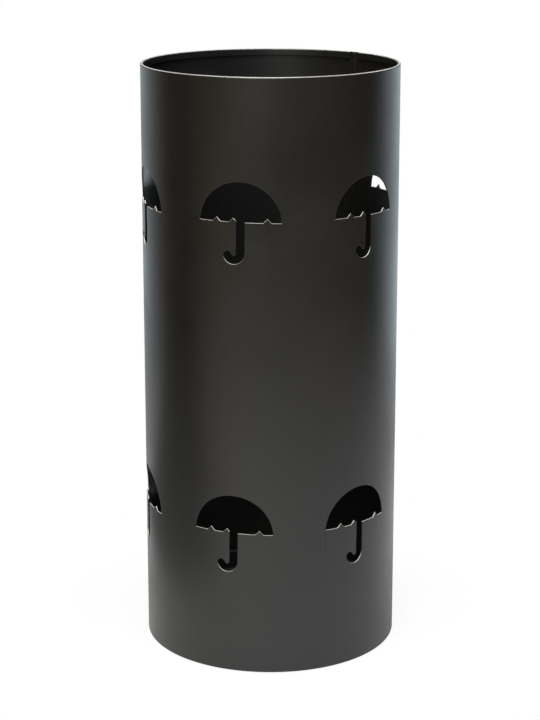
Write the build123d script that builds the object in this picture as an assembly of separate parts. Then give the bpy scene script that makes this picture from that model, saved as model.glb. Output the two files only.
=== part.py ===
from build123d import *
import math
import os

# Umbrella stand: a tube rolled from sheet steel, pierced all round with small umbrellas,
# closed by a welded-in base, standing on rubber feet, with a drip tray that lifts out.
# Millimetres, +Z up. The origin is the centre of the footprint, on the floor.
# The front is -Y. An azimuth is an angle seen from above, from the front towards +X.

# --- Body: rolled sheet -------------------------------------------------------------
body_diameter = 215.0     # outside
body_height = 495.0       # lower edge of the sheet to the top of the hem
sheet_thickness = 1.2

# --- Hem: the top edge folded inwards -----------------------------------------------
hem_depth = 6.0           # top of the rim to the raw edge of the folded leaf
hem_gap = 0.2             # air left inside the fold
hem_notch = 10.0          # stretch of rim left unfolded across the seam

# --- Seam: the butt joint down the back ---------------------------------------------
seam_column = 2.5         # midway between the second and third columns of cut-outs
seam_slit = 0.5           # gap between the butted edges
seam_bead_width = 2.0     # weld bead, on the inside
seam_bead_height = 0.35   # how far the bead stands proud of the inside wall
seam_flush = 0.1          # the outside of the weld is ground just below the sheet
seam_bead_end = 3.0       # the bead stops this far above the base plate

# --- Cut-outs: two rings of umbrellas -----------------------------------------------
columns = 6               # the first of the upper ring is at the front
lower_row = 121.0         # lower edge of the sheet to the straight edge of a lower canopy
upper_row = 114.5         # top of the rim to the straight edge of an upper canopy
lower_row_turn = -3.6     # degrees that the lower ring is turned from the upper ring
cut_out_lean = 0.8        # degrees that each umbrella leans, clockwise seen from outside
canopy_width = 66.9       # tip to tip, measured straight across
canopy_height = 32.0
shaft_width = 6.9
shaft_offset = 1.05       # shaft's centre line, to the right of the canopy's centre
shaft_length = 25.2       # straight edge of the canopy to the centre of the hook
hook_radius = 5.45        # centre line of the hook
hook_sweep = 161.0        # degrees, from the shaft round to the middle of the rounded end
tooth_height = 3.2        # points left standing on the canopy's straight edge
tooth_width = 6.5
tooth_places = (-19.0, -5.0, 22.6)

# --- Base plate: a pressed disc with its flange turned down -------------------------
base_thickness = 1.0
base_fit = 0.2            # radial gap between flange and body
base_flange = 8.0         # height over all
base_corner = 2.5         # outside radius of the bend
base_lift = 2.0           # lower edge of the sheet to the lower edge of the flange

# --- Tack welds that hold the base plate --------------------------------------------
tack_count = 6
tack_length = 12.0
tack_leg = 1.6
tack_first_azimuth = 0.0

# --- Rubber feet --------------------------------------------------------------------
foot_names = ("foot_front_right", "foot_back_right", "foot_back_left", "foot_front_left")
foot_diameter = 22.0      # at the top
foot_taper = 1.5          # how much smaller the radius is at the floor
foot_edge = 1.0           # rounding at the floor
foot_inset = 22.0         # inside wall of the body to the centre of a foot
foot_proud = 1.0          # how far the feet stand below the lower edge of the sheet

# --- Drip tray ----------------------------------------------------------------------
tray_clearance = 2.5      # radial gap to the hem that the tray is lifted past
tray_height = 20.0
tray_floor = 1.8
tray_wall = 1.6
tray_lip = 3.0            # how far the lip stands out from the wall
tray_lip_thickness = 1.6
tray_draft = 3.0          # degrees
tray_corner = 6.0         # outside radius between floor and wall
tray_rib_pitch = 24.0     # rings on the floor, as many as its flat middle holds
tray_rib_width = 1.8
tray_rib_height = 1.0

# --- Sizes that follow from the ones above ------------------------------------------
body_radius = body_diameter / 2
body_inside = body_radius - sheet_thickness
body_bottom = foot_proud
rim_top = body_bottom + body_height
fold_radius = sheet_thickness + hem_gap / 2
fold_level = rim_top - fold_radius
hem_inside = body_radius - 2 * fold_radius
base_bottom = body_bottom + base_lift
base_top = base_bottom + base_flange
base_radius = body_inside - base_fit
foot_height = base_top - base_thickness
column_step = 360 / columns
seam_azimuth = seam_column * column_step


def turned(azimuth, shape):
    """The shape, made at the front, carried round the axis to an azimuth."""
    return Rot(0, 0, azimuth) * shape


def lathe(profile, angle=360.0):
    """A profile drawn in the XZ plane, turned about the Z axis."""
    return revolve(Plane.XZ * profile, Axis.Z, angle)


def umbrella():
    """Outline of one cut-out, the middle of its canopy's straight edge at the origin."""
    half_width = canopy_width / 2
    arch = ThreePointArc((-half_width, 0), (0, canopy_height), (half_width, 0))
    canopy = make_face([arch, Line((half_width, 0), (-half_width, 0))])
    for place in tooth_places:
        canopy -= Polygon(
            (place - tooth_width / 2, 0),
            (place + tooth_width / 2, 0),
            (place, tooth_height),
            align=None,
        )
    # The shaft is cut up past the teeth, so a tooth beside it is trimmed to the shaft.
    shaft_top = tooth_height
    shaft = Pos(shaft_offset, (shaft_top - shaft_length) / 2) * Rectangle(
        shaft_width, shaft_top + shaft_length
    )
    hook_centre = (shaft_offset - hook_radius, -shaft_length)
    swing = CenterArc(hook_centre, hook_radius, 0, -hook_sweep)
    hook = trace(swing, shaft_width)
    end = Pos(swing @ 1) * Circle(shaft_width / 2)
    return Rot(0, 0, -cut_out_lean) * (canopy + shaft + hook + end)


def cut_out_tools():
    """The cutters of both rings, each driven straight in along its column's radius."""
    reach = body_radius / 2
    tools = []
    rows = ((body_bottom + lower_row, lower_row_turn), (rim_top - upper_row, 0.0))
    for level, turn in rows:
        plane = Plane.XZ.offset(body_radius - reach) * Pos(0, level)
        tool = extrude(plane * umbrella(), amount=2 * reach)
        for column in range(columns):
            tools.append(turned(turn + column * column_step, tool))
    return tools


def body_shell():
    """Rolled sheet with its slit, its hem and its cut-outs."""
    wall = Pos(0, 0, body_bottom) * extrude(
        Circle(body_radius) - Circle(body_inside), fold_level - body_bottom
    )
    leaf_outside = hem_inside + sheet_thickness
    leaf_bottom = rim_top - hem_depth
    fold_middle = body_radius - fold_radius
    outline = [
        Line((body_inside, fold_level), (body_radius, fold_level)),
        ThreePointArc((body_radius, fold_level), (fold_middle, rim_top), (hem_inside, fold_level)),
        Line((hem_inside, fold_level), (hem_inside, leaf_bottom)),
        Line((hem_inside, leaf_bottom), (leaf_outside, leaf_bottom)),
        Line((leaf_outside, leaf_bottom), (leaf_outside, fold_level)),
        ThreePointArc(
            (leaf_outside, fold_level),
            (fold_middle, fold_level + hem_gap / 2),
            (body_inside, fold_level),
        ),
    ]
    notch_angle = math.degrees(hem_notch / body_radius)
    # The lathe starts at +X, which is azimuth 90.
    notch_end = seam_azimuth - 90 + notch_angle / 2
    hem = turned(notch_end, lathe(make_face(outline), 360 - notch_angle))
    # Across the seam the leaf is cut away, and only the first half of the fold runs on.
    fold_inside = fold_level + hem_gap / 2
    half_bend = math.sqrt(0.5)
    half_fold = [
        Line((body_inside, fold_level), (body_radius, fold_level)),
        ThreePointArc(
            (body_radius, fold_level),
            (fold_middle + fold_radius * half_bend, fold_level + fold_radius * half_bend),
            (fold_middle, rim_top),
        ),
        Line((fold_middle, rim_top), (fold_middle, fold_inside)),
        ThreePointArc(
            (fold_middle, fold_inside),
            (
                fold_middle + hem_gap / 2 * half_bend,
                fold_level + hem_gap / 2 * half_bend,
            ),
            (body_inside, fold_level),
        ),
    ]
    hem += turned(notch_end - notch_angle, lathe(make_face(half_fold), notch_angle))
    slit = Pos(0, -body_inside, body_height / 2 + body_bottom) * Box(
        seam_slit, 4 * sheet_thickness, 2 * body_height
    )
    shell = wall + hem - turned(seam_azimuth, slit)
    return shell - cut_out_tools()


def seam_weld():
    """The weld that fills the slit, with a bead on the inside above the base plate."""
    half_bead = seam_bead_width / 2
    edge = math.sqrt(body_inside**2 - half_bead**2)
    filler_depth = body_radius - seam_flush - edge
    filler = Pos(0, -edge - filler_depth / 2) * Rectangle(seam_slit, filler_depth)
    bead_arc = ThreePointArc(
        (-half_bead, -edge), (0, -edge + seam_bead_height), (half_bead, -edge)
    )
    bead = make_face([bead_arc, Line((half_bead, -edge), (-half_bead, -edge))])
    bead_bottom = base_top + seam_bead_end
    weld = Pos(0, 0, body_bottom) * extrude(filler, fold_level - body_bottom)
    weld += Pos(0, 0, bead_bottom) * extrude(bead, fold_level - bead_bottom)
    return turned(seam_azimuth, weld)


def base_plate():
    """Pressed disc, flange down, bent over an even radius."""
    outside = Pos(0, base_bottom) * Rectangle(
        base_radius, base_flange, align=(Align.MIN, Align.MIN)
    )
    inside = Pos(0, base_bottom) * Rectangle(
        base_radius - base_thickness, base_flange - base_thickness, align=(Align.MIN, Align.MIN)
    )
    outside = fillet(top_corner(outside), base_corner)
    inside = fillet(top_corner(inside), base_corner - base_thickness)
    return lathe(outside - inside)


def top_corner(profile):
    """The corner of a profile that is furthest out and highest."""
    return profile.vertices().sort_by(lambda v: v.X + v.Y)[-1]


def base_welds():
    """Short fillet welds between the flange's lower edge and the body."""
    corner = (body_inside, base_bottom)
    slope = tack_leg * math.sqrt(0.5)
    section = make_face([
        Line(corner, (body_inside, base_bottom - tack_leg)),
        ThreePointArc(
            (body_inside, base_bottom - tack_leg),
            (body_inside - slope, base_bottom - slope),
            (body_inside - tack_leg, base_bottom),
        ),
        Line((body_inside - tack_leg, base_bottom), corner),
    ])
    angle = math.degrees(tack_length / body_inside)
    first = tack_first_azimuth - 90 - angle / 2
    tack = turned(first, lathe(section, angle))
    return Compound([turned(k * 360 / tack_count, tack) for k in range(tack_count)])


def foot():
    """A tapered rubber foot, stuck to the underside of the base plate."""
    top = foot_diameter / 2
    profile = Polygon((0, 0), (top - foot_taper, 0), (top, foot_height), (0, foot_height), align=None)
    floor_corner = profile.vertices().filter_by(lambda v: v.X > 0 and v.Y < foot_height / 2)
    return lathe(fillet(floor_corner, foot_edge))


def drip_tray():
    """Shallow moulded dish with a turned-out lip and low rings on its floor."""
    lip_radius = hem_inside - tray_clearance
    wall_top = lip_radius - tray_lip
    lean = math.tan(math.radians(tray_draft))
    wall_bottom = wall_top - tray_height * lean
    outside = Polygon(
        (0, 0), (wall_bottom, 0), (wall_top, tray_height), (0, tray_height), align=None
    )
    inside = Polygon(
        (0, tray_floor),
        (wall_bottom + tray_floor * lean - tray_wall, tray_floor),
        (wall_top - tray_wall, tray_height),
        (0, tray_height),
        align=None,
    )
    outside = fillet(outer_vertex(outside, 0), tray_corner)
    inside = fillet(outer_vertex(inside, tray_floor), tray_corner - tray_wall)
    lip = Pos(wall_top - tray_wall, tray_height - tray_lip_thickness) * Rectangle(
        tray_lip + tray_wall, tray_lip_thickness, align=(Align.MIN, Align.MIN)
    )
    section = outside + lip - inside
    flat_middle = wall_bottom - tray_corner - tray_rib_width
    for ring in range(1, int(flat_middle / tray_rib_pitch) + 1):
        section += Pos(ring * tray_rib_pitch, tray_floor) * Rectangle(
            tray_rib_width, tray_rib_height, align=(Align.CENTER, Align.MIN)
        )
    return Pos(0, 0, base_top) * lathe(section)


def outer_vertex(profile, level):
    """The vertex of a profile at a level that is furthest from the axis."""
    at_level = profile.vertices().filter_by(lambda v: abs(v.Y - level) < 1e-6)
    return at_level.sort_by(Axis.X)[-1]


def feet():
    """One foot in each quarter, as names and shapes."""
    radius = body_inside - foot_inset
    return {
        name: turned(45 + 90 * quarter, Pos(0, -radius) * foot())
        for quarter, name in enumerate(foot_names)
    }


nodes = {
    "body_shell": body_shell(),
    "seam_weld": seam_weld(),
    "base_plate": base_plate(),
    "base_welds": base_welds(),
    "drip_tray": drip_tray(),
    **feet(),
}

os.makedirs("parts", exist_ok=True)
for name, shape in nodes.items():
    export_step(shape, f"parts/{name}.step")
    print(f"{name}: {len(shape.solids())} solid(s), {shape.volume / 1000:.2f} cm3")
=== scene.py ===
# %% [markdown]
# # Umbrella stand
# A tube rolled from sheet steel, pierced with two rings of small umbrellas, powder coated in
# dark anthracite. Inside stands a black drip tray on a welded-in base plate, and four rubber
# feet carry the lot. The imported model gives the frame: every place below comes from it.

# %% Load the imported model
import math

import bpy
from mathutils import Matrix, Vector


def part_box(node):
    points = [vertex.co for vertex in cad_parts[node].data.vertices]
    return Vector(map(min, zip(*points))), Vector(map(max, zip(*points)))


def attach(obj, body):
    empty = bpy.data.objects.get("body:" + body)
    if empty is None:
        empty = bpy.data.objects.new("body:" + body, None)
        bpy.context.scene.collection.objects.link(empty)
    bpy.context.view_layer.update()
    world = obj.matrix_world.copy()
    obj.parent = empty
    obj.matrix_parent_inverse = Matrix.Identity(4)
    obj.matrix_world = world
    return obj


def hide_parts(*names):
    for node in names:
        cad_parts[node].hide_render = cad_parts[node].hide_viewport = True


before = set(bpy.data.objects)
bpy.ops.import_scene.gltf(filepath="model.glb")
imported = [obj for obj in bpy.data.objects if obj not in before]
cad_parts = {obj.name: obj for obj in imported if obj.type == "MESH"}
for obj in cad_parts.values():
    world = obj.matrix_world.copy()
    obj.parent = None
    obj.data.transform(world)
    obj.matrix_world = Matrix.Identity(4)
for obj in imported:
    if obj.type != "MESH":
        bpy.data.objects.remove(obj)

MM = 0.001
bpy.context.view_layer.update()

# %% [markdown]
# The frame gives the outside of the body, the rim and the base. The sheet's own sizes can't be
# read from a box, so they are named here once, in the same way as on a workshop drawing.

# %% Sizes of the stand
body_low, body_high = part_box("body_shell")
body_radius = body_high.y
body_bottom, rim_top = body_low.z, body_high.z
sheet = 1.2 * MM
hem_depth = 6.0 * MM
hem_gap = 0.2 * MM
hem_notch = 10.0 * MM
seam_azimuth = math.radians(150)
seam_slit = 0.5 * MM
body_inside = body_radius - sheet
fold_radius = sheet + hem_gap / 2
fold_level = rim_top - fold_radius
print("body radius", round(body_radius, 5), "from", round(body_bottom, 4), "to", round(rim_top, 4))

# %% [markdown]
# ## Camera
# The stand was taken from a little above, with a long lens, so the verticals lean in only
# slightly towards the floor. A small lens shift keeps the tall object in the upright frame
# without tipping the camera further down.

# %% Camera
camera_azimuth = math.radians(13.3)
camera_distance = 1.5738
camera_height = 0.6731
camera_pitch = math.radians(13.556)
camera_aside = 0.00034


def compass(azimuth, radius, height):
    """A point at an azimuth, counted from the front (-Y) towards +X, seen from above."""
    return Vector((radius * math.sin(azimuth), -radius * math.cos(azimuth), height))


camera_data = bpy.data.cameras.new("camera")
camera_data.lens = 95.17
camera_data.shift_y = -60 / 720
camera = bpy.data.objects.new("camera", camera_data)
camera.location = compass(camera_azimuth, camera_distance, camera_height)
camera.location -= camera_aside * compass(camera_azimuth + math.pi / 2, 1, 0)
camera.rotation_euler = (math.pi / 2 - camera_pitch, 0, camera_azimuth)
bpy.context.scene.collection.objects.link(camera)
bpy.context.scene.camera = camera
print("camera at", [round(v, 3) for v in camera.location])

# %% [markdown]
# ## Studio
# A satin black tube shows little more than what it mirrors, so the surroundings do most of the
# lighting. They are white behind the stand, which draws a bright rim down both sides, black at
# the sides, and dim on the camera's side, which leaves the front calm. A broad key light stands
# a little to the left of the camera. A second light overhead falls on the floor and on the upward
# edges of the cut-outs. One even white dome would be simpler, but it would leave the tube flat.

# %% Floor
floor_radius = 0.95
bpy.ops.object.select_all(action="DESELECT")
bpy.ops.mesh.primitive_circle_add(vertices=128, radius=floor_radius, fill_type="NGON")
floor = bpy.context.object
floor.name = "floor"
floor_paint = bpy.data.materials.new("pale_floor")
floor_paint.use_nodes = True
floor_shader = floor_paint.node_tree.nodes["Principled BSDF"]
floor_shader.inputs["Base Color"].default_value = (0.9, 0.9, 0.9, 1)
floor_shader.inputs["Roughness"].default_value = 0.8
floor.data.materials.append(floor_paint)
print("floor", floor_radius * 2, "m across")

# %% [markdown]
# The floor is there to be mirrored and to catch the stand's shadow, but it should pass into the
# white background without an edge. So what the camera sees of it directly is overexposed: all of
# it away from the stand, and most of it close to the stand, where a trace of shadow is left.

# %% Floor as the camera sees it
shadow_near = 0.11
shadow_far = 0.22
overexposure_near = 0.9
floor_nodes = floor_paint.node_tree.nodes
floor_links = floor_paint.node_tree.links
glow = floor_nodes.new("ShaderNodeEmission")
camera_ray = floor_nodes.new("ShaderNodeLightPath")
floor_place = floor_nodes.new("ShaderNodeTexCoord")
from_axis = floor_nodes.new("ShaderNodeVectorMath")
from_axis.operation = "LENGTH"
fade = floor_nodes.new("ShaderNodeMapRange")
fade.inputs["From Min"].default_value = shadow_near
fade.inputs["From Max"].default_value = shadow_far
fade.inputs["To Min"].default_value = overexposure_near
overexposed = floor_nodes.new("ShaderNodeMath")
overexposed.operation = "MULTIPLY"
blend = floor_nodes.new("ShaderNodeMixShader")
floor_links.new(floor_place.outputs["Object"], from_axis.inputs[0])
floor_links.new(from_axis.outputs["Value"], fade.inputs["Value"])
floor_links.new(fade.outputs["Result"], overexposed.inputs[0])
floor_links.new(camera_ray.outputs["Is Camera Ray"], overexposed.inputs[1])
floor_links.new(overexposed.outputs["Value"], blend.inputs["Fac"])
floor_links.new(floor_shader.outputs["BSDF"], blend.inputs[1])
floor_links.new(glow.outputs["Emission"], blend.inputs[2])
floor_links.new(blend.outputs["Shader"], floor_nodes["Material Output"].inputs["Surface"])
print("floor paint has", len(floor_nodes), "nodes")

# %% [markdown]
# A grey card lies on the floor to the left, out of sight. The stand mirrors it instead of the
# pale floor, which gives the left flank its darker band inside the bright rim.

# %% Grey card
card_azimuth = camera_azimuth - math.radians(86)
card_distance = 0.60
card_width = 0.65
card_length = 0.70
card_lift = 2 * MM
bpy.ops.object.select_all(action="DESELECT")
bpy.ops.mesh.primitive_plane_add(
    size=1,
    location=compass(card_azimuth, card_distance, card_lift),
    rotation=(0, 0, card_azimuth),
)
card = bpy.context.object
card.name = "grey_card"
card.scale = (card_width, card_length, 1)
bpy.ops.object.transform_apply(location=True, rotation=True, scale=True)
card_paint = bpy.data.materials.new("grey_card")
card_paint.use_nodes = True
card_shader = card_paint.node_tree.nodes["Principled BSDF"]
card_shader.inputs["Base Color"].default_value = (0.25, 0.25, 0.25, 1)
card_shader.inputs["Roughness"].default_value = 0.9
card.data.materials.append(card_paint)
card.visible_camera = False
print("card", card_width, "by", card_length, "m")

# %% Softboxes


def softbox(name, azimuth, distance, height, aim_height, size, power, colour):
    """A square area light that looks at the stand's axis and isn't seen itself."""
    data = bpy.data.lights.new(name, "AREA")
    data.size = size
    data.energy = power
    data.color = colour
    light = bpy.data.objects.new(name, data)
    light.location = compass(azimuth, distance, height)
    aim = Vector((0, 0, aim_height)) - light.location
    light.rotation_euler = aim.to_track_quat("-Z", "Y").to_euler()
    light.visible_camera = False
    bpy.context.scene.collection.objects.link(light)
    return light


key_azimuth = camera_azimuth - math.radians(15)
key = softbox(
    "key",
    key_azimuth,
    distance=2.0,
    height=1.45,
    aim_height=0.25,
    size=1.2,
    power=32,
    colour=(1.0, 0.98, 0.80),
)
overhead = softbox(
    "overhead",
    camera_azimuth,
    distance=0.35,
    height=2.0,
    aim_height=0.2,
    size=0.9,
    power=46,
    colour=(1.0, 0.99, 0.95),
)
print("softboxes", key.data.energy, "W and", overhead.data.energy, "W")

# %% [markdown]
# The surroundings are two bands of colour, given by azimuth in degrees from the camera's side,
# positive to the right. The camera looks down, so the upright wall mirrors what lies low: mostly
# the floor and the lower band. The upper band lies above it and adds a faint cool tint in front.

# %% Colours of the surroundings
lower_band = (
    (-180, (0.92, 0.93, 0.93)),
    (-150, (0.89, 1.04, 1.10)),
    (-128, (0.60, 0.66, 0.66)),
    (-105, (0.12, 0.06, 0.01)),
    (-80, (0.00, 0.00, 0.00)),
    (-45, (0.42, 0.32, 0.16)),
    (0, (0.10, 0.10, 0.06)),
    (45, (0.24, 0.19, 0.06)),
    (80, (0.15, 0.10, 0.00)),
    (105, (0.00, 0.00, 0.00)),
    (128, (0.89, 1.00, 1.09)),
    (150, (1.20, 1.46, 1.56)),
    (180, (0.92, 0.93, 0.93)),
)
upper_band = (
    (-180, (0.00, 0.00, 0.00)),
    (-60, (0.00, 0.00, 0.00)),
    (0, (0.00, 0.02, 0.28)),
    (60, (0.00, 0.06, 0.28)),
    (120, (0.00, 0.00, 0.00)),
    (180, (0.00, 0.00, 0.00)),
)
print("lower band", len(lower_band), "stops, upper band", len(upper_band), "stops")

# %% Ramps round the horizon
surroundings = bpy.data.worlds.new("surroundings")
bpy.context.scene.world = surroundings
surroundings.use_nodes = True
tree = surroundings.node_tree
tree.nodes.clear()


def world_node(kind, **settings):
    """Adds a node to the surroundings and sets it."""
    node = tree.nodes.new(kind)
    for key, value in settings.items():
        setattr(node, key, value)
    return node


def colour_band(stops, place):
    """A ramp of colours round the horizon."""
    ramp = world_node("ShaderNodeValToRGB")
    elements = ramp.color_ramp.elements
    for azimuth, colour in stops:
        position = (azimuth + 180) / 360
        if position in (0.0, 1.0):
            stop = elements[int(position) * (len(elements) - 1)]
        else:
            stop = elements.new(position)
        stop.color = (*colour, 1)
    tree.links.new(place, ramp.inputs["Fac"])
    return ramp.outputs["Color"]


# %% [markdown]
# Each ray's direction gives its azimuth, through the arc tangent of how far it points sideways
# and towards the camera's side. Its height mixes the lower band into the upper one. Rays that
# come straight from the camera see plain white.

# %% Surroundings
band_bottom = -0.03
band_top = 0.10
direction = world_node("ShaderNodeTexCoord").outputs["Generated"]
nearer = world_node("ShaderNodeVectorMath", operation="DOT_PRODUCT")
nearer.inputs[1].default_value = compass(camera_azimuth, 1, 0)
sideways = world_node("ShaderNodeVectorMath", operation="DOT_PRODUCT")
sideways.inputs[1].default_value = compass(camera_azimuth + math.pi / 2, 1, 0)
around = world_node("ShaderNodeMath", operation="ARCTAN2")
around_scaled = world_node("ShaderNodeMapRange")
around_scaled.inputs["From Min"].default_value = -math.pi
around_scaled.inputs["From Max"].default_value = math.pi
height = world_node("ShaderNodeSeparateXYZ")
above = world_node("ShaderNodeMapRange", interpolation_type="SMOOTHSTEP")
above.inputs["From Min"].default_value = band_bottom
above.inputs["From Max"].default_value = band_top
bands = world_node("ShaderNodeMix", data_type="RGBA")
lit = world_node("ShaderNodeBackground")
seen = world_node("ShaderNodeBackground")
seen.inputs["Color"].default_value = (1, 1, 1, 1)
path = world_node("ShaderNodeLightPath")
either = world_node("ShaderNodeMixShader")
output = world_node("ShaderNodeOutputWorld")
tree.links.new(direction, nearer.inputs[0])
tree.links.new(direction, sideways.inputs[0])
tree.links.new(direction, height.inputs[0])
tree.links.new(sideways.outputs["Value"], around.inputs[0])
tree.links.new(nearer.outputs["Value"], around.inputs[1])
tree.links.new(around.outputs["Value"], around_scaled.inputs["Value"])
tree.links.new(height.outputs["Z"], above.inputs["Value"])
tree.links.new(above.outputs["Result"], bands.inputs["Factor"])
tree.links.new(colour_band(lower_band, around_scaled.outputs["Result"]), bands.inputs[6])
tree.links.new(colour_band(upper_band, around_scaled.outputs["Result"]), bands.inputs[7])
tree.links.new(bands.outputs[2], lit.inputs["Color"])
tree.links.new(path.outputs["Is Camera Ray"], either.inputs["Fac"])
tree.links.new(lit.outputs["Background"], either.inputs[1])
tree.links.new(seen.outputs["Background"], either.inputs[2])
tree.links.new(either.outputs["Shader"], output.inputs["Surface"])
bpy.context.scene.view_settings.view_transform = "Standard"
print("surroundings have", len(tree.nodes), "nodes")

# %% [markdown]
# ## Helpers
# An operator works on whatever is selected, so each helper first clears the selection and then
# picks what it needs by place. With them the modelling below reads like work at the screen.

# %% Helpers for selecting and applying


def only(obj):
    """Makes obj the one selected and active object."""
    if bpy.context.mode != "OBJECT":
        bpy.ops.object.mode_set(mode="OBJECT")
    bpy.ops.object.select_all(action="DESELECT")
    obj.select_set(True)
    bpy.context.view_layer.objects.active = obj
    return obj


def new_piece(name):
    """Names the primitive that was just added."""
    obj = bpy.context.object
    obj.name = name
    obj.data.name = name
    return only(obj)


def pick(obj, kind, test):
    """Opens obj in edit mode with only the vertices, edges or faces selected that pass the test."""
    only(obj)
    mesh = obj.data
    for group in (mesh.vertices, mesh.edges, mesh.polygons):
        group.foreach_set("select", [False] * len(group))
    if kind == "VERT":
        chosen = [v for v in mesh.vertices if test(v.co)]
    elif kind == "EDGE":
        ends = [[mesh.vertices[i].co for i in e.vertices] for e in mesh.edges]
        chosen = [e for e, (a, b) in zip(mesh.edges, ends) if test(a) and test(b)]
    else:
        chosen = [f for f in mesh.polygons if test(f)]
    for item in chosen:
        item.select = True
    bpy.ops.object.mode_set(mode="EDIT")
    bpy.ops.mesh.select_mode(type=kind)
    return len(chosen)


def done(obj):
    """Leaves edit mode and puts the object's place into its mesh."""
    only(obj)
    bpy.ops.object.transform_apply(location=True, rotation=True, scale=True)
    return obj


def modifier(obj, kind, **settings):
    """Adds a modifier, sets it and applies it."""
    only(obj)
    mod = obj.modifiers.new(kind.title(), kind)
    for key, value in settings.items():
        setattr(mod, key, value)
    bpy.ops.object.modifier_apply(modifier=mod.name)
    return obj


def carve(obj, tool, operation):
    """Adds tool to obj, or cuts it away, and removes the tool."""
    modifier(obj, "BOOLEAN", object=tool, operation=operation, solver="EXACT")
    bpy.data.objects.remove(tool)
    return obj


# %% [markdown]
# ## Finishes
# The steel is powder coated: a satin, almost black paint, fused on in the oven. It has a faint
# orange peel about a millimetre across, a finer grain on top of it, and slightly uneven gloss.
# The grain is a node group with its own sizes, because the plastic of the tray and the rubber of
# the feet need the same two layers at other sizes.

# %% Grain group: two layers of unevenness at chosen sizes


def link(tree, source, target):
    """Joins two sockets."""
    tree.links.new(source, target)


def grain_group():
    """Three noises at sizes in millimetres: peel and grain, mixed into a height, and clouds."""
    group = bpy.data.node_groups.new("surface_grain", "ShaderNodeTree")
    sockets = group.interface
    for name, value in (("Peel Size", 1.2), ("Grain Size", 0.35), ("Cloud Size", 60.0)):
        socket = sockets.new_socket(name, in_out="INPUT", socket_type="NodeSocketFloat")
        socket.default_value = value
    for name in ("Height", "Grain", "Cloud"):
        sockets.new_socket(name, in_out="OUTPUT", socket_type="NodeSocketFloat")
    nodes = group.nodes
    inputs = nodes.new("NodeGroupInput")
    outputs = nodes.new("NodeGroupOutput")
    place = nodes.new("ShaderNodeTexCoord")
    layers = {}
    for name, detail in (("Peel Size", 1.0), ("Grain Size", 2.0), ("Cloud Size", 3.0)):
        scale = nodes.new("ShaderNodeMath")
        scale.operation = "DIVIDE"
        scale.inputs[0].default_value = 1 / MM
        noise = nodes.new("ShaderNodeTexNoise")
        noise.inputs["Detail"].default_value = detail
        link(group, inputs.outputs[name], scale.inputs[1])
        link(group, place.outputs["Object"], noise.inputs["Vector"])
        link(group, scale.outputs[0], noise.inputs["Scale"])
        layers[name] = noise.outputs["Fac"]
    height = nodes.new("ShaderNodeMix")
    height.inputs["Factor"].default_value = 0.35
    link(group, layers["Peel Size"], height.inputs["A"])
    link(group, layers["Grain Size"], height.inputs["B"])
    link(group, height.outputs["Result"], outputs.inputs["Height"])
    link(group, layers["Grain Size"], outputs.inputs["Grain"])
    link(group, layers["Cloud Size"], outputs.inputs["Cloud"])
    return group


surface_grain = grain_group()
print("group", surface_grain.name, [item.name for item in surface_grain.interface.items_tree])

# %% Helpers for finishes


def new_finish(name):
    """A new material with its node tree and its shader."""
    finish = bpy.data.materials.new(name)
    finish.use_nodes = True
    shader = finish.node_tree.nodes["Principled BSDF"]
    shader.inputs["IOR"].default_value = 1.5
    return finish, finish.node_tree, shader


def add_grain(tree, peel, grain, cloud):
    """Places the grain group in a material, with its sizes in millimetres."""
    node = tree.nodes.new("ShaderNodeGroup")
    node.node_tree = surface_grain
    node.inputs["Peel Size"].default_value = peel
    node.inputs["Grain Size"].default_value = grain
    node.inputs["Cloud Size"].default_value = cloud
    return node


def add_range(tree, source, low, high, from_low=0.3, from_high=0.7):
    """Turns a noise, which stays mostly between 0.3 and 0.7, into a value from low to high."""
    node = tree.nodes.new("ShaderNodeMapRange")
    node.inputs["From Min"].default_value = from_low
    node.inputs["From Max"].default_value = from_high
    node.inputs["To Min"].default_value = low
    node.inputs["To Max"].default_value = high
    link(tree, source, node.inputs["Value"])
    return node.outputs["Result"]


def add_mix(tree, factor, low, high):
    """A colour between low and high; each is a colour or a socket."""
    node = tree.nodes.new("ShaderNodeMix")
    node.data_type = "RGBA"
    link(tree, factor, node.inputs["Factor"])
    for name, value in (("A", low), ("B", high)):
        socket = [i for i in node.inputs if i.name == name and i.type == "RGBA"][0]
        if isinstance(value, tuple):
            socket.default_value = (*value, 1)
        else:
            link(tree, value, socket)
    return [o for o in node.outputs if o.type == "RGBA"][0]


def add_bump(tree, shader, height, strength, distance):
    """Lets a height roughen the surface."""
    node = tree.nodes.new("ShaderNodeBump")
    node.inputs["Strength"].default_value = strength
    node.inputs["Distance"].default_value = distance
    link(tree, height, node.inputs["Height"])
    link(tree, node.outputs["Normal"], shader.inputs["Normal"])


print("helpers for finishes ready")

# %% [markdown]
# The edges of the cut-outs that face up, and the top of the rim, look far lighter than the faces.
# Light on a rounded edge alone stays too dim, so a paler tone is painted there. It is partly a coat
# that is thin or rubbed on the edges, and partly painted highlight: only the edges that face up get
# it, as if lit from above. A piece of the rolled sheet faces straight in or out, so an edge is
# wherever the surface points elsewhere. The base plate stays out of it, by its height.

# %% Mask of the upward cut edges: wear and painted highlight
edges_above = 20 * MM


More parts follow.
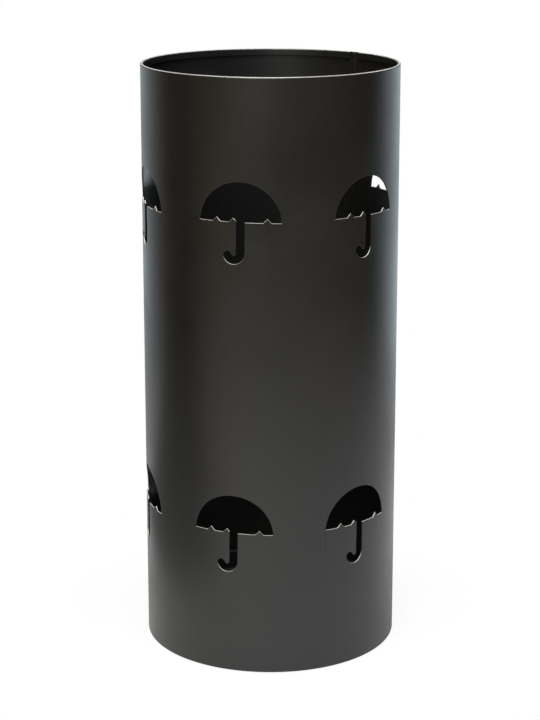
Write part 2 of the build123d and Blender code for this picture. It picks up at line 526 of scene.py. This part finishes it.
def edge_wear_and_highlight(tree):
    """Wear and painted highlight: 1 on cut and folded steel that faces up, above the base plate,
    and 0 elsewhere.
    """
    place = tree.nodes.new("ShaderNodeTexCoord")
    geometry = tree.nodes.new("ShaderNodeNewGeometry")
    outwards = tree.nodes.new("ShaderNodeVectorMath")
    outwards.operation = "MULTIPLY"
    outwards.inputs[1].default_value = (1, 1, 0)
    unit = tree.nodes.new("ShaderNodeVectorMath")
    unit.operation = "NORMALIZE"
    facing = tree.nodes.new("ShaderNodeVectorMath")
    facing.operation = "DOT_PRODUCT"
    size = tree.nodes.new("ShaderNodeMath")
    size.operation = "ABSOLUTE"
    tilt = tree.nodes.new("ShaderNodeSeparateXYZ")
    upward_wear_and_highlight = tree.nodes.new("ShaderNodeMath")
    upward_wear_and_highlight.operation = "MULTIPLY"
    level = tree.nodes.new("ShaderNodeSeparateXYZ")
    above_base = tree.nodes.new("ShaderNodeMath")
    above_base.operation = "GREATER_THAN"
    above_base.inputs[1].default_value = edges_above
    both = tree.nodes.new("ShaderNodeMath")
    both.operation = "MULTIPLY"
    link(tree, place.outputs["Object"], outwards.inputs[0])
    link(tree, outwards.outputs["Vector"], unit.inputs[0])
    link(tree, unit.outputs["Vector"], facing.inputs[0])
    link(tree, geometry.outputs["True Normal"], facing.inputs[1])
    link(tree, facing.outputs["Value"], size.inputs[0])
    link(tree, place.outputs["Object"], level.inputs["Vector"])
    link(tree, level.outputs["Z"], above_base.inputs[0])
    link(tree, add_range(tree, size.outputs["Value"], 1, 0, 0.55, 0.9), both.inputs[0])
    link(tree, above_base.outputs["Value"], both.inputs[1])
    link(tree, geometry.outputs["True Normal"], tilt.inputs["Vector"])
    link(tree, both.outputs["Value"], upward_wear_and_highlight.inputs[0])
    # Only edges that face up keep the paler tone: this part is painted highlight, not wear.
    link(tree, add_range(tree, tilt.outputs["Z"], 0, 1, 0.1, 0.6), upward_wear_and_highlight.inputs[1])
    return upward_wear_and_highlight.outputs["Value"]


# %% Powder coat


def powder_coat():
    """Satin, almost black paint with grain, uneven gloss, and upward edges that are paler, partly
    from wear and partly by painted highlight.
    """
    finish, tree, shader = new_finish("powder_coat")
    grain = add_grain(tree, peel=1.3, grain=0.45, cloud=70.0)
    cloud = add_range(tree, grain.outputs["Cloud"], 0, 1)
    tone = add_mix(tree, cloud, (0.0045, 0.0043, 0.0040), (0.0075, 0.0072, 0.0068))
    speck = add_range(tree, grain.outputs["Grain"], 0, 1, 0.50, 0.75)
    covered = add_mix(tree, speck, tone, (0.028, 0.026, 0.024))
    patchiness = add_range(tree, grain.outputs["Cloud"], 1, 0.6)
    worn_and_highlit = tree.nodes.new("ShaderNodeMath")
    worn_and_highlit.operation = "MULTIPLY"
    link(tree, edge_wear_and_highlight(tree), worn_and_highlit.inputs[0])
    link(tree, patchiness, worn_and_highlit.inputs[1])
    # The pale grey on the upward edges is painted highlight, partly also a worn coat; the clouds
    # make it patchy.
    colour = add_mix(tree, worn_and_highlit.outputs["Value"], covered, (0.50, 0.49, 0.47))
    link(tree, colour, shader.inputs["Base Color"])
    link(tree, add_range(tree, grain.outputs["Cloud"], 0.31, 0.39), shader.inputs["Roughness"])
    add_bump(tree, shader, grain.outputs["Height"], 0.45, 0.05 * MM)
    return finish


coat = powder_coat()
print("coat", coat.name, "has", len(coat.node_tree.nodes), "nodes")

# %% [markdown]
# The tray's plastic and the rubber of the feet are made alike: an almost black tone that wanders
# a little, a dull gloss and a moulded grain. Their shine is held low, so that the tray stays dark
# behind the cut-outs.

# %% Tray plastic and foot rubber


def moulded(name, roughness, dark, light, peel, grain, depth):
    """A moulded black material, plastic or rubber, by its roughness and the size of its grain."""
    finish, tree, shader = new_finish(name)
    layers = add_grain(tree, peel=peel, grain=grain, cloud=40.0)
    tone = add_mix(tree, add_range(tree, layers.outputs["Cloud"], 0, 1), dark, light)
    link(tree, tone, shader.inputs["Base Color"])
    rough = add_range(tree, layers.outputs["Grain"], roughness - 0.06, roughness + 0.06)
    link(tree, rough, shader.inputs["Roughness"])
    shader.inputs["Specular IOR Level"].default_value = 0.2
    add_bump(tree, shader, layers.outputs["Height"], 0.4, depth)
    return finish


tray_plastic = moulded(
    "black_polypropylene", 0.55, (0.006, 0.006, 0.006), (0.009, 0.009, 0.009), 0.9, 0.3, 0.05 * MM
)
rubber = moulded(
    "black_rubber", 0.75, (0.016, 0.016, 0.015), (0.024, 0.024, 0.023), 1.8, 0.25, 0.08 * MM
)
print("moulded", tray_plastic.name, "and", rubber.name)

# %% [markdown]
# ## The cut-out
# Each cut-out is an umbrella with a plain round canopy, a shaft and a hook. Its lower edge has
# three small points of steel left standing, where the panels of the canopy would meet. The cutter
# is modelled like a punch: a disc cut in half, a bar whose end is spun round for the hook, a
# round end, and three notches.

# %% Canopy of the cutter
canopy_width = 68.0 * MM
canopy_height = 32.0 * MM
shaft_width = 6.9 * MM
shaft_offset = 1.05 * MM
shaft_length = 25.2 * MM
hook_radius = 5.45 * MM
hook_sweep = math.radians(161)
tooth_height = 3.2 * MM
tooth_width = 6.5 * MM
tooth_tip = 0.5 * MM
tooth_places = (-19.0 * MM, -5.0 * MM, 22.6 * MM)
cut_out_lean = math.radians(0.8)
cutter_depth = 12.0 * MM

arch_radius = (canopy_height**2 + (canopy_width / 2) ** 2) / (2 * canopy_height)
bpy.ops.object.select_all(action="DESELECT")
bpy.ops.mesh.primitive_cylinder_add(
    vertices=144,
    radius=arch_radius,
    depth=cutter_depth,
    location=(0, 0, canopy_height - arch_radius),
    rotation=(math.pi / 2, 0, 0),
)
cutter = done(new_piece("cutter"))
pick(cutter, "FACE", lambda face: True)
bpy.ops.mesh.bisect(
    plane_co=(0, 0, 0), plane_no=(0, 0, 1), use_fill=True, clear_inner=True, threshold=1e-6
)
only(cutter)
print("canopy", [round(v / MM, 1) for v in cutter.dimensions])

# %% Teeth of the cutter
for place in tooth_places:
    bpy.ops.object.select_all(action="DESELECT")
    bpy.ops.mesh.primitive_cube_add(
        size=1,
        location=(place, 0, 0),
        scale=(tooth_width * 2, cutter_depth * 1.5, tooth_height * 2),
    )
    tooth = done(new_piece("tooth"))
    top = max(v.co.z for v in tooth.data.vertices)
    pick(tooth, "FACE", lambda face: face.normal.z > 0.9)
    bpy.ops.transform.resize(
        value=(tooth_tip / (tooth_width * 2), 1, 1), center_override=(place, 0, top)
    )
    carve(cutter, tooth, "DIFFERENCE")
print("teeth cut, faces", len(cutter.data.polygons))

# %% Shaft and hook of the cutter
shaft_top = tooth_height
bpy.ops.object.select_all(action="DESELECT")
bpy.ops.mesh.primitive_cube_add(
    size=1,
    location=(shaft_offset, 0, (shaft_top - shaft_length) / 2),
    scale=(shaft_width, cutter_depth * 1.1, shaft_top + shaft_length),
)
shaft = done(new_piece("shaft"))
hook_centre = Vector((shaft_offset - hook_radius, 0, -shaft_length))
pick(shaft, "FACE", lambda face: face.normal.z < -0.9)
bpy.ops.mesh.spin(steps=24, angle=hook_sweep, center=hook_centre, axis=(0, -1, 0))
only(shaft)
hook_end = hook_centre + hook_radius * Vector((math.cos(hook_sweep), 0, -math.sin(hook_sweep)))
bpy.ops.object.select_all(action="DESELECT")
bpy.ops.mesh.primitive_cylinder_add(
    vertices=48,
    radius=shaft_width / 2,
    depth=cutter_depth * 1.2,
    location=hook_end,
    rotation=(math.pi / 2, 0, 0),
)
hook_cap = done(new_piece("hook_cap"))
carve(shaft, hook_cap, "UNION")
carve(cutter, shaft, "UNION")
cutter.rotation_euler.y = cut_out_lean
done(cutter)
print("cutter", [round(v / MM, 1) for v in cutter.dimensions], "faces", len(cutter.data.polygons))

# %% [markdown]
# ## The body
# The real body starts flat: the blank is cut to size, the umbrellas are cut out, the top edge is
# folded over, and the sheet is rolled round until its ends meet at the seam. The same order is
# used here, because it gives cut walls that stand square to the sheet all round, and one clean
# grid of faces. The sheet's outer skin lies at y = 0 and its outside looks towards -Y.

# %% Flat blank, gridded so that it can bend
columns = 6
grid_columns = 216
grid_rows = 8
blank_length = 2 * math.pi * body_radius - seam_slit
blank_height = fold_level - body_bottom
bpy.ops.object.select_all(action="DESELECT")
bpy.ops.mesh.primitive_grid_add(
    x_subdivisions=grid_columns,
    y_subdivisions=grid_rows,
    size=1,
    rotation=(math.pi / 2, 0, 0),
    location=(0, 0, (body_bottom + fold_level) / 2),
)
body = new_piece("rolled_body")
body.scale = (blank_length, blank_height, 1)
done(body)
notch_edge = blank_length / 2 - hem_notch / 2
for side in (-1, 1):
    pick(body, "FACE", lambda face: True)
    bpy.ops.mesh.bisect(plane_co=(side * notch_edge, 0, 0), plane_no=(1, 0, 0), threshold=1e-6)
only(body)
print("blank", [round(v / MM, 1) for v in body.dimensions], "faces", len(body.data.polygons))

# %% Cut the umbrellas out of the flat blank
lower_row = 121.0 * MM
upper_row = 114.5 * MM
lower_turn = math.radians(-3.6)
# The blank's middle is opposite the seam.
middle_azimuth = seam_azimuth - math.pi
cutters = []
for level, turn in ((body_bottom + lower_row, lower_turn), (rim_top - upper_row, 0.0)):
    for column in range(columns):
        azimuth = turn + column * 2 * math.pi / columns
        across = (azimuth - middle_azimuth + math.pi) % (2 * math.pi) - math.pi
        copy = cutter.copy()
        copy.data = cutter.data.copy()
        copy.location = (across * body_radius, 0, level)
        bpy.context.scene.collection.objects.link(copy)
        cutters.append(copy)
bpy.data.objects.remove(cutter)
only(cutters[0])
for copy in cutters:
    copy.select_set(True)
bpy.ops.object.join()
punch = done(bpy.context.object)
modifier(body, "SOLIDIFY", thickness=2 * MM, offset=-1)
carve(body, punch, "DIFFERENCE")
pick(body, "FACE", lambda face: not (face.normal.y < -0.9 and face.center.y < 0.1 * MM))
bpy.ops.mesh.delete(type="FACE")
only(body)
pick(body, "VERT", lambda co: True)
bpy.ops.mesh.remove_doubles(threshold=0.25 * MM)
only(body)
print("pierced blank, faces", len(body.data.polygons))

# %% [markdown]
# The hem is folded by spinning the top edges half a turn about the fold's own axis, and pulling
# the leaf down from there. Close to the seam the leaf is left out, so that it doesn't crumple
# where the ends meet, and the rim only bends over by a quarter turn.

# %% Fold the hem inwards along the top
fold_steps = 10


def on_fold_line(co):
    """True along the top of the blank, except close to its two ends."""
    return co.z > fold_level - 0.01 * MM and abs(co.x) < notch_edge + 0.01 * MM


pick(body, "EDGE", on_fold_line)
bpy.ops.mesh.spin(
    steps=fold_steps, angle=math.pi, center=(0, fold_radius, fold_level), axis=(1, 0, 0)
)
leaf_length = hem_depth - fold_radius
bpy.ops.mesh.extrude_region_move(TRANSFORM_OT_translate={"value": (0, 0, -leaf_length)})
only(body)


def at_seam_end(co):
    """True along the top of the blank, close to its two ends."""
    return (
        abs(co.z - fold_level) < 0.01 * MM
        and abs(co.y) < 0.01 * MM
        and abs(co.x) > notch_edge - 0.01 * MM
    )


pick(body, "EDGE", at_seam_end)
bpy.ops.mesh.spin(
    steps=fold_steps // 2,
    angle=math.pi / 2,
    center=(0, fold_radius, fold_level),
    axis=(1, 0, 0),
)
only(body)
pick(body, "VERT", lambda co: True)
bpy.ops.mesh.remove_doubles(threshold=0.02 * MM)
only(body)
highest = max(v.co.z for v in body.data.vertices)
print("hem folded, top at", round(highest / MM, 2), "mm")

# %% Roll it
modifier(
    body,
    "SIMPLE_DEFORM",
    deform_method="BEND",
    deform_axis="Z",
    angle=blank_length / body_radius,
)
body.location.y = -body_radius
done(body)
body.rotation_euler.z = middle_azimuth
done(body)
print("rolled", [round(v / MM, 2) for v in body.dimensions])

# %% Give it the sheet's thickness and soften the cut edges
edge_width = 0.35 * MM
trim = 0.99998
modifier(body, "SOLIDIFY", thickness=sheet, offset=-1, use_even_offset=True)
modifier(
    body,
    "BEVEL",
    width=edge_width,
    segments=3,
    limit_method="ANGLE",
    angle_limit=math.radians(50),
    use_clamp_overlap=False,
)
# The thickness pushes a few corners a hair too far out, so they are brought back.
pick(body, "VERT", lambda co: co.z > rim_top)
bpy.ops.transform.resize(value=(1, 1, 0), center_override=(0, 0, rim_top))
bpy.ops.mesh.select_all(action="SELECT")
bpy.ops.transform.resize(value=(trim, trim, 1), center_override=(0, 0, 0))
only(body)
bpy.ops.object.shade_smooth_by_angle(angle=math.radians(60))
modifier(body, "WEIGHTED_NORMAL", keep_sharp=True, weight=100)
print("body", [round(v / MM, 2) for v in body.dimensions], "faces", len(body.data.polygons))
body.data.materials.clear()
body.data.materials.append(coat)
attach(body, "stand")
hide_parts("body_shell")

# %% [markdown]
# ## The seam
# Where the two ends of the sheet meet they are welded from the inside, and the outside is ground
# flush. A weld bead is a row of frozen ripples, one for each step of the welder's hand. One ripple
# is modelled, an array repeats it up the tube, and the back is pulled flat and out into the slit.

# %% One ripple of the bead
bead_width = 2.0 * MM
bead_height = 0.35 * MM
base_low, base_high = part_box("base_plate")
bead_bottom = base_high.z + 3.0 * MM
bead_length = fold_level - bead_bottom
ripples = 400
ripple_pitch = bead_length / ripples
bead_columns = 8
bpy.ops.object.select_all(action="DESELECT")
bpy.ops.mesh.primitive_grid_add(
    x_subdivisions=bead_columns,
    y_subdivisions=2,
    size=1,
    rotation=(math.pi / 2, 0, 0),
    location=(0, -body_inside, bead_bottom + ripple_pitch / 2),
)
weld = new_piece("seam_bead")
weld.scale = (bead_width, ripple_pitch, 1)
done(weld)
middle_row = bead_bottom + ripple_pitch / 2
for column in range(bead_columns // 2 + 1):
    place = column * bead_width / bead_columns
    rise = 1 - (2 * place / bead_width) ** 2
    pick(weld, "VERT", lambda co: abs(abs(co.x) - place) < 0.02 * MM)
    shift = (0, 0.02 * MM + bead_height * rise * 0.8, ripple_pitch * 0.3 * rise)
    bpy.ops.transform.translate(value=shift)
    # The middle row stands a little higher, as the crest of the ripple.
    only(weld)
    crest = middle_row + shift[2]
    pick(
        weld,
        "VERT",
        lambda co: abs(abs(co.x) - place) < 0.02 * MM and abs(co.z - crest) < 0.02 * MM,
    )
    bpy.ops.transform.translate(value=(0, bead_height * rise * 0.2, 0))
only(weld)
print("ripple", [round(v / MM, 2) for v in weld.dimensions])

# %% Repeat it, close it and fill the slit
modifier(
    weld,
    "ARRAY",
    count=ripples,
    use_relative_offset=False,
    use_constant_offset=True,
    constant_offset_displace=(0, 0, ripple_pitch),
    use_merge_vertices=True,
    merge_threshold=0.02 * MM,
)
ground_off = 0.1 * MM
slit_depth = sheet - ground_off
pick(weld, "FACE", lambda face: True)
bpy.ops.mesh.extrude_region_move(TRANSFORM_OT_translate={"value": (0, -0.5 * MM, 0)})
bpy.ops.transform.resize(value=(1, 0, 1), center_override=(0, -body_inside, 0))
only(weld)
slit_half = seam_slit / 2


def at_back_of_slit(face):
    """True for the strip of the flat back that lies over the slit."""
    return abs(face.center.x) < slit_half and abs(face.center.y + body_inside) < 1e-6


pick(weld, "FACE", at_back_of_slit)
bpy.ops.mesh.extrude_region_move(TRANSFORM_OT_translate={"value": (0, -slit_depth, 0)})
only(weld)
for level, direction, clear in ((bead_bottom, 1, "clear_inner"), (fold_level, 1, "clear_outer")):
    pick(weld, "FACE", lambda face: True)
    bpy.ops.mesh.bisect(
        plane_co=(0, 0, level + 1e-6 * (1 if clear == "clear_inner" else -1)),
        plane_no=(0, 0, direction),
        use_fill=True,
        threshold=1e-7,
        **{clear: True},
    )
    only(weld)

# Below the bead, behind the base plate, the slit is only filled.
foot_length = bead_bottom - body_bottom
bpy.ops.object.select_all(action="DESELECT")
bpy.ops.mesh.primitive_cube_add(
    size=1,
    location=(0, -body_inside - slit_depth / 2, body_bottom + foot_length / 2),
    scale=(seam_slit, slit_depth, foot_length),
)
done(new_piece("slit_foot"))
weld.select_set(True)
bpy.context.view_layer.objects.active = weld
bpy.ops.object.join()
pick(weld, "FACE", lambda face: True)
bpy.ops.mesh.normals_make_consistent(inside=False)
only(weld)
bpy.ops.object.shade_smooth_by_angle(angle=math.radians(50))
weld.rotation_euler.z = seam_azimuth
done(weld)
weld.data.materials.clear()
weld.data.materials.append(coat)
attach(weld, "stand")
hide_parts("seam_weld")
print("seam", [round(v / MM, 1) for v in weld.dimensions], "faces", len(weld.data.polygons))

# %% [markdown]
# ## Turned pieces
# The base plate, the tray and the feet are all round. Spinning a profile would do, but pulling one
# ring of edges outwards and upwards, step by step, is quicker to read: each point of the profile
# is one extrusion. Both ends are closed with a disc, and the large radii are bevelled one by one.

# %% Helpers for turned pieces


def turned(name, profile, segments):
    """Pulls a circle of edges through a profile of (radius, height) points and closes it."""
    radius, height = profile[0]
    bpy.ops.object.select_all(action="DESELECT")
    bpy.ops.mesh.primitive_circle_add(
        vertices=segments, radius=radius, fill_type="NOTHING", location=(0, 0, height)
    )
    piece = done(new_piece(name))
    pick(piece, "EDGE", lambda co: True)
    for next_radius, next_height in profile[1:]:
        bpy.ops.mesh.extrude_region_move(
            TRANSFORM_OT_translate={"value": (0, 0, next_height - height)}
        )
        scale = next_radius / radius
        bpy.ops.transform.resize(value=(scale, scale, 1), center_override=(0, 0, 0))
        radius, height = next_radius, next_height
    bpy.ops.mesh.select_all(action="SELECT")
    bpy.ops.mesh.fill_holes(sides=0)
    bpy.ops.mesh.select_all(action="SELECT")
    bpy.ops.mesh.normals_make_consistent(inside=False)
    return only(piece)


def round_ring(piece, radius, height, width, steps):
    """Rounds the ring of edges at a radius and height."""

    def on_ring(co):
        return abs(math.hypot(co.x, co.y) - radius) < 0.05 * MM and abs(co.z - height) < 0.05 * MM

    count = pick(piece, "EDGE", on_ring)
    bpy.ops.mesh.bevel(offset=width, segments=steps, affect="EDGES")
    only(piece)
    return count


def soften(piece, width, steps=2):
    """Breaks every sharp edge that is left and shades the piece smooth."""
    modifier(
        piece,
        "BEVEL",
        width=width,
        segments=steps,
        limit_method="ANGLE",
        angle_limit=math.radians(40),
    )
    only(piece)
    bpy.ops.object.shade_smooth_by_angle(angle=math.radians(45))
    modifier(piece, "WEIGHTED_NORMAL", keep_sharp=True, weight=100)


def paint(piece, material):
    """Gives a piece its finish and prints its size."""
    piece.data.materials.clear()
    piece.data.materials.append(material)
    print(piece.name, [round(v / MM, 1) for v in piece.dimensions], len(piece.data.polygons))


# %% [markdown]
# ## The base plate
# A disc of 1 mm steel, pressed so that its edge turns down. It stiffens the foot of the tube,
# carries the tray and gives the feet their height.

# %% Base plate
base_radius = base_high.y
plate = 1.0 * MM
hub = 20 * MM
plate_profile = (
    (hub, base_high.z - plate),
    (base_radius - plate, base_high.z - plate),
    (base_radius - plate, base_low.z),
    (base_radius, base_low.z),
    (base_radius, base_high.z),
    (hub, base_high.z),
)
base = turned("pressed_base", plate_profile, 144)
round_ring(base, base_radius, base_high.z, 2.5 * MM, 6)
round_ring(base, base_radius - plate, base_high.z - plate, 1.5 * MM, 6)
soften(base, 0.2 * MM)
paint(base, coat)
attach(base, "stand")
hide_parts("base_plate")

# %% [markdown]
# ## The tack welds
# Six short welds hold the plate, underneath, in the corner between its edge and the tube. Each is
# a quarter of a round bar with ripples. The quarter disc is carried round the axis in short steps
# and every few steps it is drawn in towards the corner, more so at both ends.

# %% Tack welds
tacks = 6
tack_angle = 12.0 * MM / body_inside
tack_leg = 1.6 * MM
tack_steps = 24
end_size = 0.45
growth = 0.14
ripple_every = 3
ripple_size = 0.84
bpy.ops.object.select_all(action="DESELECT")
bpy.ops.mesh.primitive_circle_add(
    vertices=24,
    radius=tack_leg,
    fill_type="NGON",
    location=(0, -body_inside, base_low.z),
    rotation=(0, math.pi / 2, 0),
)
tack = done(new_piece("tack_beads"))
pick(tack, "FACE", lambda face: True)
bpy.ops.mesh.bisect(
    plane_co=(0, -body_inside, 0), plane_no=(0, 1, 0), clear_inner=True, threshold=1e-7
)
only(tack)
pick(tack, "FACE", lambda face: True)
bpy.ops.mesh.bisect(
    plane_co=(0, 0, base_low.z), plane_no=(0, 0, 1), clear_outer=True, threshold=1e-7
)
only(tack)
tack.rotation_euler.z = -tack_angle / 2
done(tack)
pick(tack, "FACE", lambda face: True)
bpy.ops.mesh.spin(steps=tack_steps, angle=tack_angle, center=(0, 0, 0), axis=(0, 0, 1))
only(tack)


def azimuth_of(co):
    """A point's azimuth, counted as in compass()."""
    return math.atan2(co.x, -co.y)


step_azimuths = sorted({round(azimuth_of(v.co), 5) for v in tack.data.vertices})
for step, azimuth in enumerate(step_azimuths):
    from_end = min(step, len(step_azimuths) - 1 - step)
    draw_in = min(1.0, end_size + growth * from_end)
    if step % ripple_every == 0:
        draw_in *= ripple_size
    pick(tack, "VERT", lambda co: abs(azimuth_of(co) - azimuth) < 1e-4)
    bpy.ops.transform.resize(
        value=(draw_in,) * 3, center_override=compass(azimuth, body_inside, base_low.z)
    )
    only(tack)
pick(tack, "FACE", lambda face: True)
bpy.ops.mesh.fill_holes(sides=0)
bpy.ops.mesh.select_all(action="SELECT")
bpy.ops.mesh.normals_make_consistent(inside=False)
only(tack)
bpy.ops.object.shade_smooth_by_angle(angle=math.radians(60))
copies = [tack]
for number in range(1, tacks):
    copy = tack.copy()
    copy.data = tack.data.copy()
    copy.rotation_euler.z = number * 2 * math.pi / tacks
    bpy.context.scene.collection.objects.link(copy)
    copies.append(copy)
only(tack)
for copy in copies:
    copy.select_set(True)
bpy.ops.object.join()
done(tack)
paint(tack, coat)
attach(tack, "stand")
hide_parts("base_welds")

# %% [markdown]
# ## The drip tray
# A shallow dish moulded in black polypropylene. Its wall leans out so that it leaves the mould, a
# flat lip stiffens it and gives fingers a hold, and three low rings keep wet tips off the water.

# %% Drip tray
tray_low, tray_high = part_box("drip_tray")
lip_radius = tray_high.y
tray_lip = 3.0 * MM
lip_thickness = 1.6 * MM
tray_wall = 1.6 * MM
tray_floor = tray_low.z + 1.8 * MM
ring_pitch = 24 * MM
ring_half = 0.9 * MM
ring_height = 1.0 * MM
lean = math.tan(math.radians(3))
wall_top = lip_radius - tray_lip
wall_bottom = wall_top - (tray_high.z - tray_low.z) * lean
under_lip = tray_high.z - lip_thickness
inner_corner = wall_bottom + (tray_floor - tray_low.z) * lean - tray_wall
tray_profile = [
    (hub, tray_low.z),
    (wall_bottom, tray_low.z),
    (wall_bottom + (under_lip - tray_low.z) * lean, under_lip),
    (lip_radius, under_lip),
    (lip_radius, tray_high.z),
    (wall_top - tray_wall, tray_high.z),
    (inner_corner, tray_floor),
]
for number in (3, 2, 1):
    for side, rise in ((1, 0), (1, 1), (-1, 1), (-1, 0)):
        ring = number * ring_pitch + side * ring_half
        tray_profile.append((ring, tray_floor + rise * ring_height))
tray_profile.append((hub, tray_floor))
tray = turned("moulded_tray", tray_profile, 144)
round_ring(tray, wall_bottom, tray_low.z, 5.7 * MM, 8)
round_ring(tray, inner_corner, tray_floor, 4.2 * MM, 8)
soften(tray, 0.35 * MM, 3)
paint(tray, tray_plastic)
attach(tray, "tray")
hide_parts("drip_tray")

# %% [markdown]
# ## The feet
# Four rubber bumpers, stuck to the underside of the base plate. They taper a little towards the
# floor, and a shallow dish in the sole lets them grip.

# %% Feet
foot_top = 11.0 * MM
foot_sole = 9.5 * MM
foot_height = base_high.z - plate
foot_hub = 1.5 * MM
dish_depth = 0.6 * MM
dish_floor = 4.4 * MM
dish_rim = 5.0 * MM
foot_profile = (
    (foot_hub, dish_depth),
    (dish_floor, dish_depth),
    (dish_rim, 0),
    (foot_sole, 0),
    (foot_top, foot_height),
    (foot_hub, foot_height),
)
for name in ("front_right", "back_right", "back_left", "front_left"):
    foot = turned("bumper_" + name, foot_profile, 64)
    round_ring(foot, foot_sole, 0, 1.0 * MM, 5)
    soften(foot, 0.25 * MM)
    low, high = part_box("foot_" + name)
    middle = (low + high) / 2
    foot.location = (middle.x, middle.y, 0)
    done(foot)
    paint(foot, rubber)
    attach(foot, "stand")
    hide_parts("foot_" + name)
